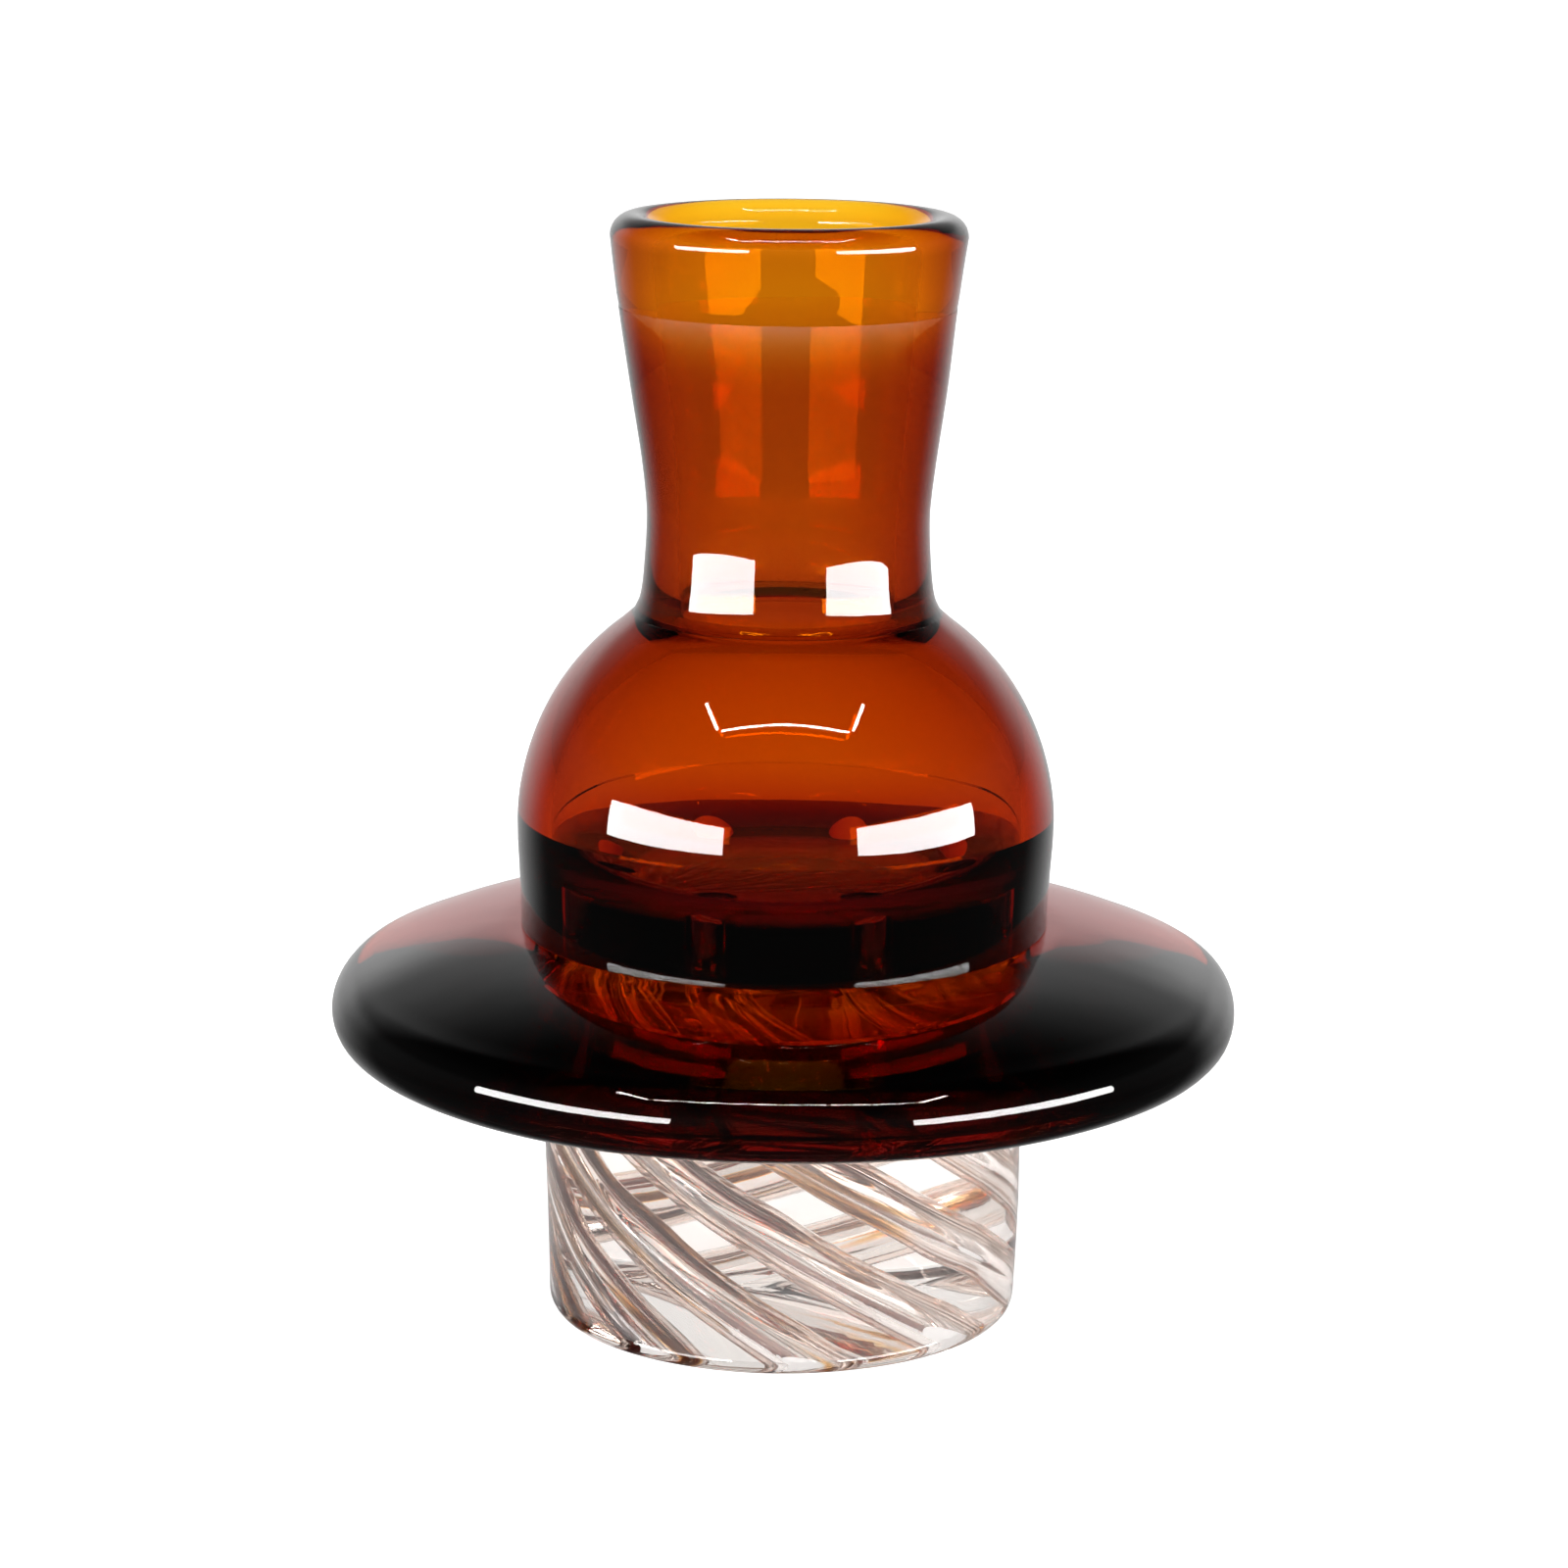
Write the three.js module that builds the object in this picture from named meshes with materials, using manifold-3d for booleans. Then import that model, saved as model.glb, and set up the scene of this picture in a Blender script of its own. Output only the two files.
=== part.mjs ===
// A lampworked glass vortex cap: a flared amber neck, a blown amber bulb and a wide amber
// brim, flame-sealed round a clear tip that carries a ring of twisted air tubes.
// Millimetres, +Z up. The origin is the centre of the tip's foot, on which the cap stands.
import * as THREE from "three";
import { mergeVertices } from "three/addons/utils/BufferGeometryUtils.js";
import Module from "manifold-3d";

const wasm = await Module();
wasm.setup();

// ---------------------------------------------------------------- driving dimensions
const sealGap = 0.05; // hairline between two sections whose end faces are sealed together
const slideGap = 0.25; // room round a section that is slid into another before it is sealed
const holeOverrun = 0.5; // how far a cutter runs past the face it has to break through
const flareStart = 0.4; // how much the neck's bore has opened where its flare starts
const roundSides = 36; // facets round each turned piece

const tip = {
  radius: 9.1, // outside of the clear sleeve
  sleeveWall: 0.7,
  reach: 10.7, // foot to the brim's underside, the depth it goes into a dish
  socketDepth: 2.0, // how far the tip is let into the brim
  footRounding: 0.5, // fire-polished bottom edge
};
const airTube = {
  count: 8,
  boreRadius: 0.8,
  wall: 0.2,
  risePerRadian: 4.9, // how far a tube climbs per radian of twist
  fadeHeight: 4.5, // the twist fades out over this height below the top face
  firstAngle: 11.25, // degrees round from +X to the first tube at the foot
  sides: 8,
  steps: 14,
};
const brim = {
  radius: 17.5,
  edgeThickness: 3.0,
  collarRadius: 10.5,
  collarThickness: 4.6, // underside to the ring where the bulb is sealed on
};
const bulb = {
  radius: 10.3, // widest
  wall: 1.2,
  footRadius: 10.1,
  footRise: 4.15, // from the foot to the widest ring
  domeHeight: 9.5, // from the widest ring to the top of the dome's full ellipse
  floorThickness: 1.3, // under the middle of the chamber
};
const neck = {
  seamRadius: 5.7, // where it is sealed on the dome
  waistRadius: 5.3,
  waistRise: 2.7, // from the seam to the waist
  boreRadius: 4.1,
  length: 15.0, // seam to the top of the lip
  lipRadius: 6.7,
  lipWall: 1.6,
  flareDepth: 5.0, // how far below the lip the bore starts to open
};

const colour = { amber: 0x8a3a06, paleAmber: 0xb8620c, clear: 0xe6e2de };

// ---------------------------------------------------------------- shared shapes
const point = (r, z) => new THREE.Vector2(r, z);

// Part of an ellipse as outline points, from angle a to angle b in radians.
function arc(centre, radiusR, radiusZ, a, b, steps) {
  return Array.from({ length: steps + 1 }, (_, i) => {
    const t = a + ((b - a) * i) / steps;
    return point(centre.x + radiusR * Math.cos(t), centre.y + radiusZ * Math.sin(t));
  });
}

// Turns a closed outline in the r-z half plane about +Z. The outline runs anticlockwise.
function turned(outline) {
  const closed = [...outline, outline[0]];
  return new THREE.LatheGeometry(closed, roundSides).rotateX(Math.PI / 2);
}

function solidOf(geometry) {
  const plain = geometry.index ? geometry.toNonIndexed() : geometry.clone();
  plain.deleteAttribute("normal");
  plain.deleteAttribute("uv");
  const merged = mergeVertices(plain, 1e-4);
  return new wasm.Manifold(
    new wasm.Mesh({
      numProp: 3,
      vertProperties: merged.attributes.position.array,
      triVerts: new Uint32Array(merged.index.array),
    }),
  );
}

function geometryOf(solid) {
  const mesh = solid.getMesh();
  return new THREE.BufferGeometry()
    .setAttribute("position", new THREE.BufferAttribute(mesh.vertProperties, 3))
    .setIndex(new THREE.BufferAttribute(mesh.triVerts, 1));
}

// A plain cylinder standing on the foot plane.
function rod(radius, height) {
  return turned([point(0, 0), point(radius, 0), point(radius, height), point(0, height)]);
}

const materials = {
  amber: new THREE.MeshStandardMaterial({ color: colour.amber, roughness: 0.05, metalness: 0 }),
  neck: new THREE.MeshStandardMaterial({ color: colour.paleAmber, roughness: 0.05, metalness: 0 }),
  clear: new THREE.MeshStandardMaterial({ color: colour.clear, roughness: 0.03, metalness: 0 }),
};

const cap = new THREE.Group();
function add(name, geometry, material) {
  const mesh = new THREE.Mesh(geometry, material);
  mesh.name = name;
  cap.add(mesh);
}

// ---------------------------------------------------------------- clear tip
const tipHeight = tip.reach + tip.socketDepth;
const sleeveBore = tip.radius - tip.sleeveWall;
const coreRadius = sleeveBore - slideGap;
const tubeRadius = airTube.boreRadius + airTube.wall;
const tubeRing = coreRadius - tubeRadius; // radius of the ring that the tubes lie on

// One air tube's centreline: a left-handed helix from below the foot to above the top face,
// whose twist fades out under the top face so that the tube opens straight up.
class TubePath extends THREE.Curve {
  constructor(startAngle) {
    super();
    this.startAngle = startAngle;
  }
  angleAt(z) {
    const fadeFrom = tipHeight - airTube.fadeHeight;
    const into = THREE.MathUtils.clamp(z - fadeFrom, 0, airTube.fadeHeight);
    const climbed = Math.min(z, fadeFrom) + into - (into * into) / (2 * airTube.fadeHeight);
    return this.startAngle - climbed / airTube.risePerRadian;
  }
  getPoint(t, target = new THREE.Vector3()) {
    const z = THREE.MathUtils.lerp(-2 * tubeRadius, tipHeight + tubeRadius, t);
    const angle = this.angleAt(z);
    return target.set(tubeRing * Math.cos(angle), tubeRing * Math.sin(angle), z);
  }
}

function circle(radius) {
  const corner = (i) => (2 * Math.PI * i) / airTube.sides;
  return Array.from({ length: airTube.sides }, (_, i) =>
    point(radius * Math.cos(corner(i)), radius * Math.sin(corner(i))),
  );
}

// A round rod along an air tube's centreline, hollow where boreRadius isn't zero.
function swept(radius, boreRadius, path) {
  const section = new THREE.Shape(circle(radius));
  if (boreRadius > 0) section.holes.push(new THREE.Path(circle(boreRadius)));
  return solidOf(new THREE.ExtrudeGeometry(section, { steps: airTube.steps, extrudePath: path }));
}

const tubePaths = Array.from(
  { length: airTube.count },
  (_, i) => {
    const turn = THREE.MathUtils.degToRad(airTube.firstAngle);
    return new TubePath(turn + (2 * Math.PI * i) / airTube.count);
  },
);
const betweenEndFaces = solidOf(rod(tip.radius, tipHeight));
let core = solidOf(rod(coreRadius, tipHeight));
tubePaths.forEach((path, i) => {
  core = core.subtract(swept(tubeRadius + slideGap, 0, path));
  const tube = swept(tubeRadius, airTube.boreRadius, path).intersect(betweenEndFaces);
  add(`air_tube_${i + 1}`, geometryOf(tube), materials.clear);
});
add("tip_core", geometryOf(core), materials.clear);

const footCentre = point(tip.radius - tip.footRounding, tip.footRounding);
const sleeveOutline = [
  point(sleeveBore, 0),
  ...arc(footCentre, tip.footRounding, tip.footRounding, -Math.PI / 2, 0, 3),
  point(tip.radius, tipHeight),
  point(sleeveBore, tipHeight),
];
add("tip_sleeve", turned(sleeveOutline), materials.clear);

// Cuts the holes that carry each air tube's bore on up through the glass above the tip.
function withAirHoles(solid, from, to) {
  const section = new THREE.Shape(circle(airTube.boreRadius));
  const hole = new THREE.ExtrudeGeometry(section, { depth: to - from, bevelEnabled: false });
  for (const path of tubePaths) {
    const { x, y } = path.getPoint(1);
    solid = solid.subtract(solidOf(hole.clone().translate(x, y, from)));
  }
  return solid;
}

// ---------------------------------------------------------------- amber brim
const socketRadius = tip.radius + slideGap;
const socketTop = tipHeight + sealGap;
const collarHeight = tip.reach + brim.collarThickness;
const edgeRadius = brim.edgeThickness / 2;
const edgeCentre = point(brim.radius - edgeRadius, tip.reach + edgeRadius);
// The sloping top leaves the round edge where it is tangent to it.
const toCollar = point(brim.collarRadius, collarHeight).sub(edgeCentre);
const tangentAngle = toCollar.angle() - Math.acos(edgeRadius / toCollar.length());
const brimOutline = [
  point(0, socketTop),
  point(socketRadius, socketTop),
  point(socketRadius, tip.reach),
  ...arc(edgeCentre, edgeRadius, edgeRadius, -Math.PI / 2, 0, 5),
  ...arc(edgeCentre, edgeRadius, edgeRadius, 0, tangentAngle, 4).slice(1),
  point(brim.collarRadius, collarHeight),
  point(0, collarHeight),
];
const brimSolid = withAirHoles(solidOf(turned(brimOutline)), tipHeight, collarHeight + holeOverrun);
add("brim_disc", geometryOf(brimSolid), materials.amber);

// ---------------------------------------------------------------- amber bulb
const bulbFoot = collarHeight + sealGap;
const widestHeight = bulbFoot + bulb.footRise;
const chamberRadius = bulb.radius - bulb.wall;
const chamberHeight = bulb.domeHeight - bulb.wall;
const chamberDepth = bulb.footRise - bulb.floorThickness;
const widest = point(0, widestHeight);
// The dome and the chamber under it each end where they reach the neck's own radius.
const seamAngle = Math.acos(neck.seamRadius / bulb.radius);
const throatAngle = Math.acos(neck.boreRadius / chamberRadius);
const seamHeight = widestHeight + bulb.domeHeight * Math.sin(seamAngle);
const footAngle = Math.acos(bulb.footRadius / bulb.radius);
const bulbOutline = [
  point(0, bulbFoot),
  point(bulb.footRadius, bulbFoot),
  ...arc(widest, bulb.radius, bulb.footRise, -footAngle, 0, 2),
  ...arc(widest, bulb.radius, bulb.domeHeight, 0, seamAngle, 9).slice(1),
  point(neck.boreRadius, seamHeight),
  ...arc(widest, chamberRadius, chamberHeight, throatAngle, 0, 8),
  ...arc(widest, chamberRadius, chamberDepth, 0, -Math.PI / 2, 7).slice(1),
];
const bulbSolid = withAirHoles(solidOf(turned(bulbOutline)), collarHeight, widestHeight);
add("bulb_shell", geometryOf(bulbSolid), materials.amber);

// ---------------------------------------------------------------- amber neck
const neckBase = seamHeight + sealGap;
const lipRounding = neck.lipWall / 2;
const lipCentre = point(neck.lipRadius - lipRounding, neckBase + neck.length - lipRounding);
const waistHeight = neckBase + neck.waistRise;
const outside = new THREE.SplineCurve([
  point(neck.seamRadius, neckBase),
  point(neck.waistRadius, waistHeight),
  point(neck.lipRadius, lipCentre.y),
]);
const inside = new THREE.SplineCurve([
  point(neck.lipRadius - neck.lipWall, lipCentre.y),
  point(neck.boreRadius + flareStart, neckBase + neck.length - neck.flareDepth),
  point(neck.boreRadius, waistHeight),
]);
const neckOutline = [
  ...outside.getPoints(8),
  ...arc(lipCentre, lipRounding, lipRounding, 0, Math.PI, 8).slice(1, -1),
  ...inside.getPoints(8),
  point(neck.boreRadius, neckBase),
];
add("neck_tube", turned(neckOutline), materials.neck);

export default cap;
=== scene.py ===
"""A lampworked glass airflow cap, finished round its fixed frame. Lengths in metres, +Z up."""

import math

import bmesh
import bpy
from bpy.props import FloatProperty, FloatVectorProperty, IntProperty, PointerProperty
from mathutils import Matrix, Vector


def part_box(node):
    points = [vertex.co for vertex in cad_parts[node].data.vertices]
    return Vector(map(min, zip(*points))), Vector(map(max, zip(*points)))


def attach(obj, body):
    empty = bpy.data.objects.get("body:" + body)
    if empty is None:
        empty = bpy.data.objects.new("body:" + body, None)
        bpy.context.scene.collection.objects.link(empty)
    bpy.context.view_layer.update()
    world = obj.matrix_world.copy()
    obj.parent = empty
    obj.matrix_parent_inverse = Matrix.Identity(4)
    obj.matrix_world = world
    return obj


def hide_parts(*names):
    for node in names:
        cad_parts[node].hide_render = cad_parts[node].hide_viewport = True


bl_info = {
    "name": "Glass Airflow Cap",
    "version": (1, 0, 0),
    "blender": (4, 5, 0),
    "location": "3D View > Sidebar > Airflow Cap",
    "description": "Builds a hand-made glass airflow cap and the studio it stands in",
    "category": "Object",
}

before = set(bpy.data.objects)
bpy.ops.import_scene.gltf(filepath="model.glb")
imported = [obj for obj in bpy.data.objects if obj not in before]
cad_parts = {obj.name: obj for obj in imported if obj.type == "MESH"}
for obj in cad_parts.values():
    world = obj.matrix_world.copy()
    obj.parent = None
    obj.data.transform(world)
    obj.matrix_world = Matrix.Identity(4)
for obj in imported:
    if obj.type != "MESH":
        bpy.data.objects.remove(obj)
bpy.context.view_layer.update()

MM = 0.001

ROUND_STEPS = 160  # faces round each turned piece
TUBE_SIDES = 20  # faces round an air tube
TUBE_STEPS = 56  # sections along an air tube
WALL_RINGS = 6  # rings up the tip's straight walls
FLARED_RINGS = 5  # rings over which the tip's sleeve flares, counted from the foot
SLOPE_STEPS = 12  # rings down the brim's sloping top
MERGE_DISTANCE = 0.0001 * MM
SMOOTH_ANGLE = math.radians(38)
CUT_OVERRUN = 1.0 * MM  # how far a cutter runs past the face it breaks through

TIP_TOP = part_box("tip_sleeve")[1]
BRIM_LOW, BRIM_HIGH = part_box("brim_disc")
BULB_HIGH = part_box("bulb_shell")[1]
NECK_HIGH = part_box("neck_tube")[1]

# Points of the hand-turned outlines: radius and height in millimetres.
NECK_OUTSIDE = (
    (5.72, 27.62),
    (5.56, 28.0),
    (5.46, 28.6),
    (5.39, 29.5),
    (5.34, 30.6),
    (5.36, 31.6),
    (5.56, 33.4),
    (5.93, 36),
    (6.33, 39),
)
NECK_FLARE_INSIDE = ((4.95, 39.8), (4.74, 38.0), (4.5, 36.0), (4.25, 33.6))
BULB_FOOT = ((10.14, 15.34), (10.13, 15.9), (10.15, 16.6), (10.2, 17.6))
# The one small air bubble that was caught in the tip's core.
BUBBLE_PLACE = (1.7 * MM, -4.9 * MM, 3.7 * MM)
BUBBLE_RADIUS = 0.22 * MM


# ------------------------------------------------------------------ sizes and colours
class GlassSizes(bpy.types.PropertyGroup):
    """Sizes that every glass piece shares."""

    overlap: FloatProperty(
        name="Melt overlap",
        description="How far sealed sections run into each other, so that no air film shows between them",
        default=0.02 * MM,
        unit="LENGTH",
        precision=6,
    )
    wobble: FloatProperty(
        name="Hand wobble",
        description="How far the hand-turned form strays from true",
        default=0.22 * MM,
        unit="LENGTH",
        precision=6,
    )
    wobble_size: FloatProperty(
        name="Wobble size",
        description="Length over which the form strays from one side to the other",
        default=7.0 * MM,
        unit="LENGTH",
        precision=6,
    )


class TipSizes(bpy.types.PropertyGroup):
    """Sizes of the clear tip and the air tubes in it."""

    radius: FloatProperty(
        name="Tip radius",
        description="Outside of the clear sleeve",
        default=TIP_TOP.x,
        unit="LENGTH",
    )
    height: FloatProperty(
        name="Tip height",
        description="Foot to the top of the clear glass inside the brim",
        default=TIP_TOP.z,
        unit="LENGTH",
    )
    flare: FloatProperty(
        name="Tip flare",
        description="How much wider the sleeve is where it enters the brim than at its foot",
        default=0.22 * MM,
        unit="LENGTH",
        precision=6,
    )
    flow: FloatProperty(
        name="Flow inside the tip",
        description="How far the softened glass round the air tubes has wandered",
        default=0.5 * MM,
        unit="LENGTH",
        precision=6,
    )
    flow_size: FloatProperty(
        name="Flow size",
        description="Length over which the glass inside the tip wanders from side to side",
        default=2.6 * MM,
        unit="LENGTH",
        precision=6,
    )
    foot_rounding: FloatProperty(
        name="Foot rounding",
        description="Fire-polished rounding of the foot's edge",
        default=0.5 * MM,
        unit="LENGTH",
    )
    tube_count: IntProperty(
        name="Air tubes",
        description="Number of twisted air tubes",
        default=8,
        min=3,
    )
    tube_ring: FloatProperty(
        name="Tube ring radius",
        description="Radius of the ring that the air tubes lie on",
        default=7.15 * MM,
        unit="LENGTH",
        precision=6,
    )
    tube_bore: FloatProperty(
        name="Tube bore radius",
        description="Inside radius of an air tube",
        default=0.8 * MM,
        unit="LENGTH",
        precision=6,
    )
    tube_wall: FloatProperty(
        name="Tube wall",
        description="Thickness of an air tube's wall",
        default=0.2 * MM,
        unit="LENGTH",
        precision=6,
    )
    rise_per_radian: FloatProperty(
        name="Rise per radian",
        description="How far a tube climbs while it turns by one radian",
        default=4.9 * MM,
        unit="LENGTH",
        precision=6,
    )
    fade_height: FloatProperty(
        name="Fade height",
        description="Height under the tip's top over which the twist fades out",
        default=4.5 * MM,
        unit="LENGTH",
        precision=6,
    )
    first_angle: FloatProperty(
        name="First tube's angle",
        description="Angle of the first tube at the foot, from +X",
        default=math.radians(11.25),
        subtype="ANGLE",
    )


class BrimSizes(bpy.types.PropertyGroup):
    """Sizes of the wide amber brim."""

    radius: FloatProperty(
        name="Brim radius",
        description="Outside radius of the brim",
        default=BRIM_HIGH.x,
        unit="LENGTH",
    )
    underside: FloatProperty(
        name="Underside height",
        description="Height of the brim's flat underside",
        default=BRIM_LOW.z,
        unit="LENGTH",
    )
    collar_height: FloatProperty(
        name="Collar height",
        description="Height of the ring where the bulb is sealed on",
        default=BRIM_HIGH.z,
        unit="LENGTH",
    )
    collar_radius: FloatProperty(
        name="Collar radius",
        description="Radius of the ring where the bulb is sealed on",
        default=10.5 * MM,
        unit="LENGTH",
        precision=6,
    )
    edge_thickness: FloatProperty(
        name="Edge thickness",
        description="Thickness of the rounded edge",
        default=3.0 * MM,
        unit="LENGTH",
        precision=6,
    )
    socket_edge: FloatProperty(
        name="Socket edge",
        description="Bevel where the tip enters the underside",
        default=0.12 * MM,
        unit="LENGTH",
        precision=6,
    )
    crown: FloatProperty(
        name="Crown of the top",
        description="How far the sloping top bulges above a straight cone",
        default=0.25 * MM,
        unit="LENGTH",
        precision=6,
    )


class BulbSizes(bpy.types.PropertyGroup):
    """Sizes of the blown amber bulb."""

    radius: FloatProperty(
        name="Bulb radius",
        description="Widest outside radius",
        default=BULB_HIGH.x,
        unit="LENGTH",
    )
    top: FloatProperty(
        name="Bulb top",
        description="Height of the seam with the neck",
        default=BULB_HIGH.z,
        unit="LENGTH",
    )
    widest_height: FloatProperty(
        name="Widest height",
        description="Height of the widest ring",
        default=19.5 * MM,
        unit="LENGTH",
        precision=6,
    )
    dome_height: FloatProperty(
        name="Dome height",
        description="Half height of the dome's ellipse",
        default=9.5 * MM,
        unit="LENGTH",
        precision=6,
    )
    chamber_radius: FloatProperty(
        name="Chamber radius",
        description="Widest inside radius",
        default=9.1 * MM,
        unit="LENGTH",
        precision=6,
    )
    chamber_height: FloatProperty(
        name="Chamber height",
        description="Half height of the chamber's ellipse",
        default=8.3 * MM,
        unit="LENGTH",
        precision=6,
    )
    floor_height: FloatProperty(
        name="Chamber floor height",
        description="Height of the chamber's floor",
        default=17.0 * MM,
        unit="LENGTH",
        precision=6,
    )
    hole_margin: FloatProperty(
        name="Air hole margin",
        description="How far under the widest ring the air holes open into the chamber",
        default=0.3 * MM,
        unit="LENGTH",
        precision=6,
    )
    floor_rounding: FloatProperty(
        name="Chamber floor rounding",
        description="Rounding between the chamber's floor and its wall",
        default=3.0 * MM,
        unit="LENGTH",
        precision=6,
    )


class NeckSizes(bpy.types.PropertyGroup):
    """Sizes of the flared amber neck."""

    top: FloatProperty(
        name="Lip height",
        description="Height of the lip",
        default=NECK_HIGH.z,
        unit="LENGTH",
    )
    lip_radius: FloatProperty(
        name="Lip radius",
        description="Outside radius of the lip",
        default=NECK_HIGH.x,
        unit="LENGTH",
    )
    lip_wall: FloatProperty(
        name="Lip wall",
        description="Thickness of the glass at the lip",
        default=1.6 * MM,
        unit="LENGTH",
        precision=6,
    )
    seam_radius: FloatProperty(
        name="Seam radius",
        description="Outside radius where the neck melts into the bulb",
        default=5.85 * MM,
        unit="LENGTH",
        precision=6,
    )
    bore_radius: FloatProperty(
        name="Bore radius",
        description="Inside radius below the flare",
        default=4.1 * MM,
        unit="LENGTH",
        precision=6,
    )
    casing: FloatProperty(
        name="Casing thickness",
        description="Thickness of the darker amber that cases the neck below the lip",
        default=0.55 * MM,
        unit="LENGTH",
        precision=6,
    )
    casing_top: FloatProperty(
        name="Casing top",
        description="Height where the casing has thinned out to nothing",
        default=39.6 * MM,
        unit="LENGTH",
        precision=6,
    )
    casing_fade: FloatProperty(
        name="Casing fade",
        description="Height over which the casing thins out",
        default=3.6 * MM,
        unit="LENGTH",
        precision=6,
    )


class GlassColours(bpy.types.PropertyGroup):
    """How strongly each glass soaks up red, green and blue light, per millimetre."""

    neck: FloatVectorProperty(
        name="Neck glass",
        description="Red, green and blue absorbed per millimetre in the neck and its lip",
        default=(0.24, 0.66, 3.0),
        size=3,
    )
    casing: FloatVectorProperty(
        name="Casing glass",
        description="Red, green and blue absorbed per millimetre in the neck's outer casing",
        default=(0.9, 2.3, 7.0),
        size=3,
    )
    bulb: FloatVectorProperty(
        name="Bulb glass",
        description="Red, green and blue absorbed per millimetre in the bulb",
        default=(0.44, 1.36, 5.0),
        size=3,
    )
    brim: FloatVectorProperty(
        name="Brim glass",
        description="Red, green and blue absorbed per millimetre in the brim",
        default=(0.28, 0.95, 3.0),
        size=3,
    )
    tubes: FloatVectorProperty(
        name="Tube glass",
        description="Red, green and blue absorbed per millimetre in the walls of the air tubes",
        default=(0.07, 0.19, 0.26),
        size=3,
    )
    tip: FloatVectorProperty(
        name="Tip glass",
        description="Red, green and blue absorbed per millimetre in the clear tip",
        default=(0.004, 0.006, 0.008),
        size=3,
    )


# ------------------------------------------------------------------ modelling helpers
def only(piece):
    """Selects one object and makes it active."""
    bpy.ops.object.select_all(action="DESELECT")
    piece.select_set(True)
    bpy.context.view_layer.objects.active = piece


def arc(centre, radius_r, radius_z, start, end, steps):
    """Outline points on part of an ellipse, from angle start to angle end in degrees."""
    turns = [math.radians(start + (end - start) * i / steps) for i in range(steps + 1)]
    return [
        (centre[0] + radius_r * math.cos(a), centre[1] + radius_z * math.sin(a))
        for a in turns
    ]


def smooth_through(points, steps):
    """Outline points on a smooth curve through the given ones."""
    ends = [points[0], *points, points[-1]]
    curve = []
    for before, a, b, after in zip(ends, ends[1:], ends[2:], ends[3:]):
        for i in range(steps):
            t = i / steps
            curve.append(
                tuple(
                    0.5
                    * (
                        2 * a[k]
                        + (b[k] - before[k]) * t
                        + (2 * before[k] - 5 * a[k] + 4 * b[k] - after[k]) * t**2
                        + (3 * a[k] - before[k] - 3 * b[k] + after[k]) * t**3
                    )
                    for k in (0, 1)
                )
            )
    return [*curve, points[-1]]


def in_metres(points):
    """Outline points given in millimetres, in metres."""
    return [(r * MM, z * MM) for r, z in points]


def start_piece(name):
    """Names the primitive just added and opens it in edit mode with all of it selected."""
    piece = bpy.context.active_object
    piece.name = name
    piece.data.name = name
    bpy.ops.object.mode_set(mode="EDIT")
    bpy.ops.mesh.select_all(action="SELECT")
    return piece


def face_outwards(piece):
    """Merges doubles and points every face of the open edit mesh outwards, then leaves edit mode."""
    bpy.ops.mesh.select_all(action="SELECT")
    bpy.ops.mesh.remove_doubles(threshold=MERGE_DISTANCE)
    bpy.ops.mesh.normals_make_consistent(inside=False)
    mesh = bmesh.from_edit_mesh(piece.data)
    if mesh.calc_volume(signed=True) < 0:
        bpy.ops.mesh.flip_normals()
    bpy.ops.object.mode_set(mode="OBJECT")
    return piece


def turned_piece(name, outline, closed):
    """Draws an outline of (radius, height) points by extruding a vertex, then spins it about +Z.

    A closed outline ends where it began, and an open one begins and ends on the axis.
    """
    bpy.ops.object.select_all(action="DESELECT")
    bpy.ops.mesh.primitive_plane_add(size=MM, location=(0, 0, 0))
    piece = start_piece(name)
    bpy.ops.mesh.merge(type="CENTER")
    points = [*outline, outline[0]] if closed else outline
    place = (0.0, 0.0)
    for count, (radius, height) in enumerate(points):
        step = (radius - place[0], 0, height - place[1])
        if count == 0:
            bpy.ops.transform.translate(value=step)
        else:
            bpy.ops.mesh.extrude_vertices_move(TRANSFORM_OT_translate={"value": step})
        place = (radius, height)
    bpy.ops.mesh.select_all(action="SELECT")
    bpy.ops.mesh.spin(
        steps=ROUND_STEPS,
        angle=2 * math.pi,
        center=(0, 0, 0),
        axis=(0, 0, 1),
    )
    return face_outwards(piece)


def cut(piece, cutter, keep="DIFFERENCE"):
    """Cuts one closed piece with another, which is used up."""
    only(piece)
    bpy.ops.object.modifier_add(type="BOOLEAN")
    change = piece.modifiers[-1]
    change.object = cutter
    change.operation = keep
    change.solver = "EXACT"
    bpy.ops.object.modifier_apply(modifier=change.name)
    only(cutter)
    bpy.ops.object.delete()
    only(piece)


def turn(angle):
    """Turns what is selected about +Z. With no window the operator turns against its sign."""
    bpy.ops.transform.rotate(
        value=-angle, orient_axis="Z", center_override=(0, 0, 0)
    )


def ring_of_copies(piece, count):
    """Copies a piece round +Z, each copy with its own mesh, and returns them all in order."""
    copies = [piece]
    for i in range(1, count):
        only(piece)
        bpy.ops.object.duplicate(linked=False)
        turn(2 * math.pi * i / count)
        bpy.ops.object.transform_apply(location=True, rotation=True, scale=True)
        copies.append(bpy.context.active_object)
    return copies


def joined(pieces):
    """Joins separate closed pieces into one object."""
    only(pieces[0])
    for piece in pieces:
        piece.select_set(True)
    bpy.ops.object.join()
    return bpy.context.active_object


def twist_at(tip, height):
    """Angle that an air tube has turned through at a height, and its slope in radians per metre."""
    fade_from = tip.height - tip.fade_height
    into = min(max(height - fade_from, 0), tip.fade_height)
    climbed = min(height, fade_from) + into - into**2 / (2 * tip.fade_height)
    slope = (1 - into / tip.fade_height) / tip.rise_per_radian
    return tip.first_angle - climbed / tip.rise_per_radian, slope


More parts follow.
